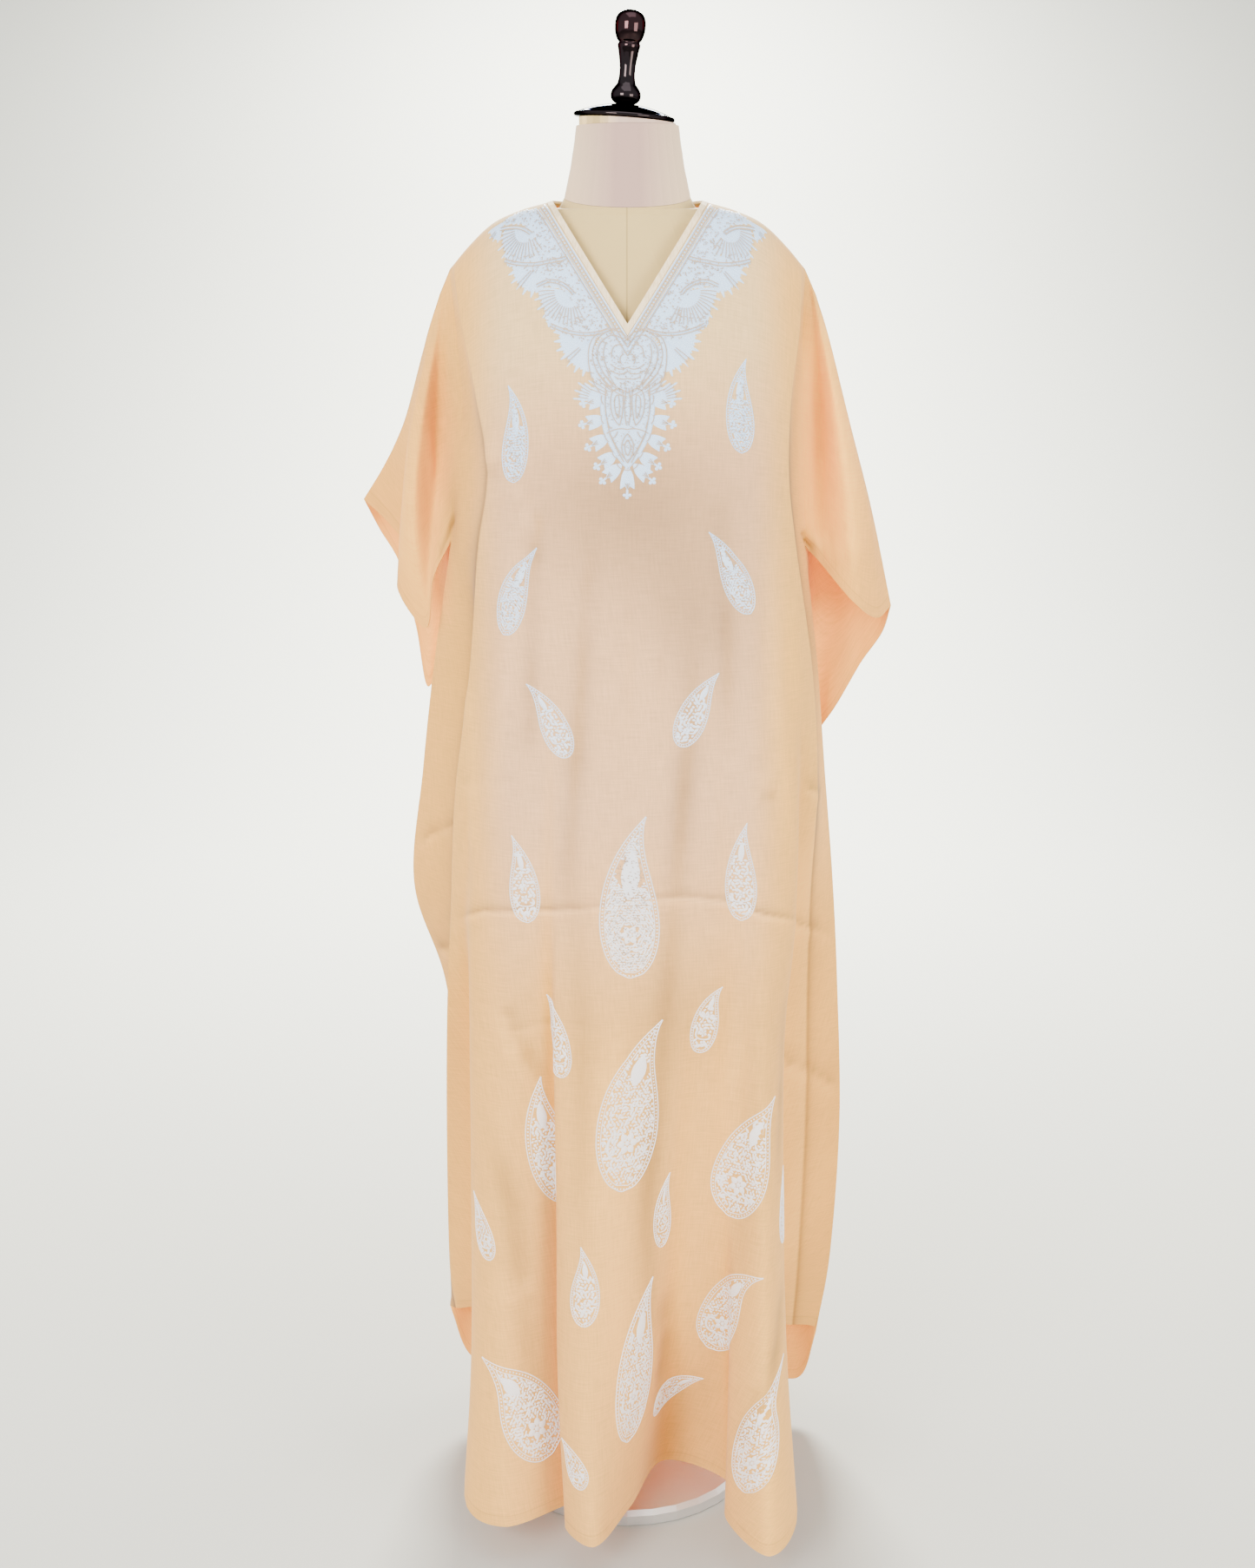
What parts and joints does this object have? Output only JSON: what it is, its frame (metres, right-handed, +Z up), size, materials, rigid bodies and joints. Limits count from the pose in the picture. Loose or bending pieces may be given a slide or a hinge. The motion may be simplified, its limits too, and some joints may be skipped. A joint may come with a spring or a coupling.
{
  "type": "kaftan on a dress form",
  "caption": "Long loose kaftan with wide short sleeves, V neck and scattered paisley embroidery, draped in folds on a limbless dress form with a turned finial, pole and round base.",
  "frame": {"origin": "centre of the base's underside, on the floor", "axes": "+Z up, +X to the right as the kaftan's front is seen, +Y to the back; the front faces -Y"},
  "size_m": [0.582, 0.48, 1.6537],
  "materials": {
    "cloth": "light plain-weave crepe, pale peach, slightly sheer, soft folds",
    "binding": "narrow folded strip of the same cloth",
    "form_cover": "smooth cream cotton jersey",
    "neck_cover": "smooth pale fawn jersey",
    "cap_band": "thin cream-gold band under the cap",
    "lacquer": "turned wood in glossy black lacquer",
    "pole": "satin steel tube with a round flange",
    "base": "spun steel cover over a weight, satin"
  },
  "bodies": {
    "root": {"kaftan_front": "cloth", "kaftan_back": "cloth", "neck_binding": "binding", "form_torso": "form_cover", "form_neck": "neck_cover", "form_cap_seat": "cap_band", "form_cap": "lacquer", "form_finial": "lacquer", "form_pole": "pole", "form_base": "base"}
  },
  "joints": []
}
